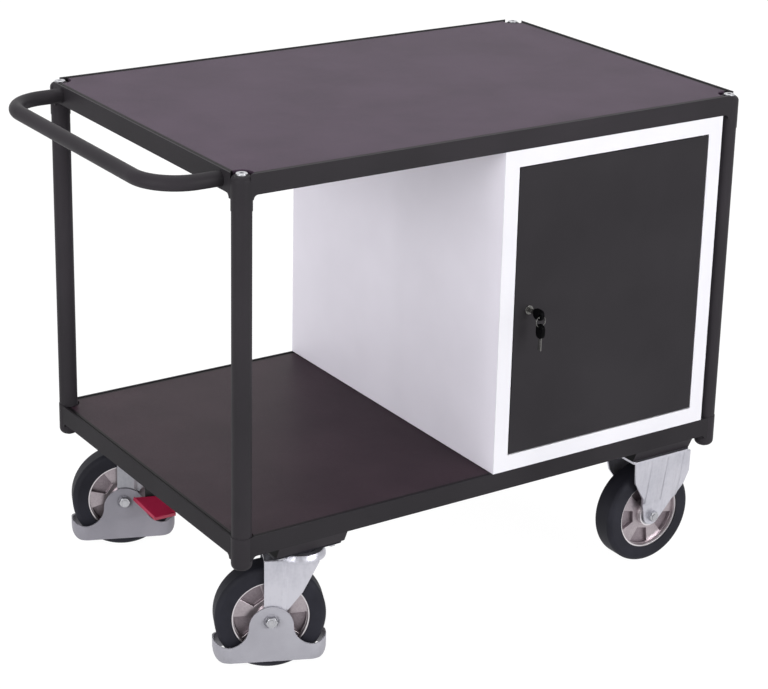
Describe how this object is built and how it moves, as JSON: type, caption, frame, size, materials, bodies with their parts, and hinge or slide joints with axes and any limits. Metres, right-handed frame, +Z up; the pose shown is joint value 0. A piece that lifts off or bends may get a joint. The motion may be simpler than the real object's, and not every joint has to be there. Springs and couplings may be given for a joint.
{
  "type": "workshop trolley",
  "caption": "Workshop trolley with two flush decks on round posts, a tubular push handle, a lockable steel cabinet, and fixed and swivel castors with foot guards.",
  "frame": {"origin": "on the floor, below the middle of the overall outline", "axes": "+X along the length from the push handle to the cabinet, +Y from the door side to the back, +Z up"},
  "size_m": [1.2058, 0.7694, 0.951],
  "materials": {
    "frame_paint": "powder coat",
    "top_deck": "textured laminate",
    "lower_deck": "textured laminate",
    "zinc_fastener": "zinc plated",
    "zinc_sheet": "zinc plated",
    "cabinet_grey": "powder coat",
    "cabinet_white": "powder coat",
    "door_paint": "powder coat",
    "guard_grey": "moulded",
    "pedal_red": "gloss",
    "black_steel": "satin black",
    "brake_rubber": "matte",
    "tyre": "solid rubber",
    "rim": "cast",
    "bearing_steel": "ground",
    "key_nickel": "nickel plated",
    "key_black": "moulded"
  },
  "bodies": {
    "frame": {"upper_long_rails": "frame_paint", "upper_short_rails": "frame_paint", "lower_long_rails": "frame_paint", "lower_short_rails": "frame_paint", "corner_posts": "frame_paint", "upper_sleeves": "frame_paint", "lower_sleeves": "frame_paint", "corner_screws": "zinc_fastener", "post_inserts": "zinc_fastener", "top_board": "top_deck", "lower_board": "lower_deck", "push_handle": "frame_paint", "cross_members": "frame_paint", "castor_bolts": "zinc_fastener", "castor_nuts": "zinc_fastener", "fixed_forks": "zinc_sheet", "fixed_axles": "zinc_fastener", "fixed_axle_nuts": "zinc_fastener", "swivel_plates": "zinc_sheet", "kingpins": "zinc_fastener", "cabinet_wrap": "cabinet_grey", "cabinet_top": "cabinet_grey", "cabinet_bottom": "cabinet_grey", "cabinet_front_frame": "cabinet_white", "hinge_pins": "zinc_fastener"},
    "front_fixed_wheel": {"front_fixed_tyre": "tyre", "front_fixed_rim": "rim", "front_fixed_bearings": "bearing_steel"},
    "rear_fixed_wheel": {"rear_fixed_tyre": "tyre", "rear_fixed_rim": "rim", "rear_fixed_bearings": "bearing_steel"},
    "front_swivel_castor": {"front_swivel_fork": "zinc_sheet", "front_foot_guard": "guard_grey", "front_swivel_axle": "zinc_fastener", "front_swivel_axle_nuts": "zinc_fastener", "front_brake_bracket": "black_steel"},
    "front_swivel_wheel": {"front_swivel_tyre": "tyre", "front_swivel_rim": "rim", "front_swivel_bearings": "bearing_steel"},
    "front_brake": {"front_brake_pedal": "pedal_red", "front_brake_shoe": "brake_rubber"},
    "rear_swivel_castor": {"rear_swivel_fork": "zinc_sheet", "rear_foot_guard": "guard_grey", "rear_swivel_axle": "zinc_fastener", "rear_swivel_axle_nuts": "zinc_fastener", "rear_brake_bracket": "black_steel"},
    "rear_swivel_wheel": {"rear_swivel_tyre": "tyre", "rear_swivel_rim": "rim", "rear_swivel_bearings": "bearing_steel"},
    "rear_brake": {"rear_brake_pedal": "pedal_red", "rear_brake_shoe": "brake_rubber"},
    "door": {"door": "door_paint", "lock_barrel": "key_nickel"},
    "lock": {"lock_plug": "key_nickel", "lock_cam": "key_nickel", "lock_key_head": "key_black", "lock_key_blade": "key_nickel"},
    "spare_key": {"key_ring": "key_nickel", "spare_key_head": "key_black", "spare_key_blade": "key_nickel"}
  },
  "joints": [
    {"name": "front_fixed_wheel_spin", "type": "hinge", "parent": "frame", "child": "front_fixed_wheel", "pos_m": [0.4875, -0.26218, 0.1], "axis": [0, 1, 0], "continuous": true},
    {"name": "rear_fixed_wheel_spin", "type": "hinge", "parent": "frame", "child": "rear_fixed_wheel", "pos_m": [0.4875, 0.29382, 0.1], "axis": [0, 1, 0], "continuous": true},
    {"name": "front_swivel", "type": "hinge", "parent": "frame", "child": "front_swivel_castor", "pos_m": [-0.3075, -0.27118, 0.235], "axis": [0, 0, 1], "continuous": true},
    {"name": "front_swivel_wheel_spin", "type": "hinge", "parent": "front_swivel_castor", "child": "front_swivel_wheel", "pos_m": [-0.35683, -0.24921, 0.1], "axis": [0.4067, 0.9135, 0], "continuous": true},
    {"name": "front_brake_press", "type": "hinge", "parent": "front_swivel_castor", "child": "front_brake", "pos_m": [-0.28869, -0.23139, 0.1014], "axis": [-0.9135, 0.4067, 0], "range_deg": [0, 12]},
    {"name": "rear_swivel", "type": "hinge", "parent": "frame", "child": "rear_swivel_castor", "pos_m": [-0.3075, 0.30282, 0.235], "axis": [0, 0, 1], "continuous": true},
    {"name": "rear_swivel_wheel_spin", "type": "hinge", "parent": "rear_swivel_castor", "child": "rear_swivel_wheel", "pos_m": [-0.35757, 0.32305, 0.1], "axis": [0.3746, 0.9272, 0], "continuous": true},
    {"name": "rear_brake_press", "type": "hinge", "parent": "rear_swivel_castor", "child": "rear_brake", "pos_m": [-0.32306, 0.26165, 0.1014], "axis": [0.9272, -0.3746, 0], "range_deg": [0, 12]},
    {"name": "door_swing", "type": "hinge", "parent": "frame", "child": "door", "pos_m": [0.51505, -0.33418, 0.613], "axis": [0, 0, 1], "range_deg": [0, 110]},
    {"name": "key_turn", "type": "hinge", "parent": "door", "child": "lock", "pos_m": [0.12605, -0.33918, 0.613], "axis": [0, 1, 0], "range_deg": [0, 90]},
    {"name": "spare_key_swing", "type": "hinge", "parent": "lock", "child": "spare_key", "pos_m": [0.12605, -0.37518, 0.6118], "axis": [1, 0, 0], "range_deg": [-60, 25]}
  ]
}
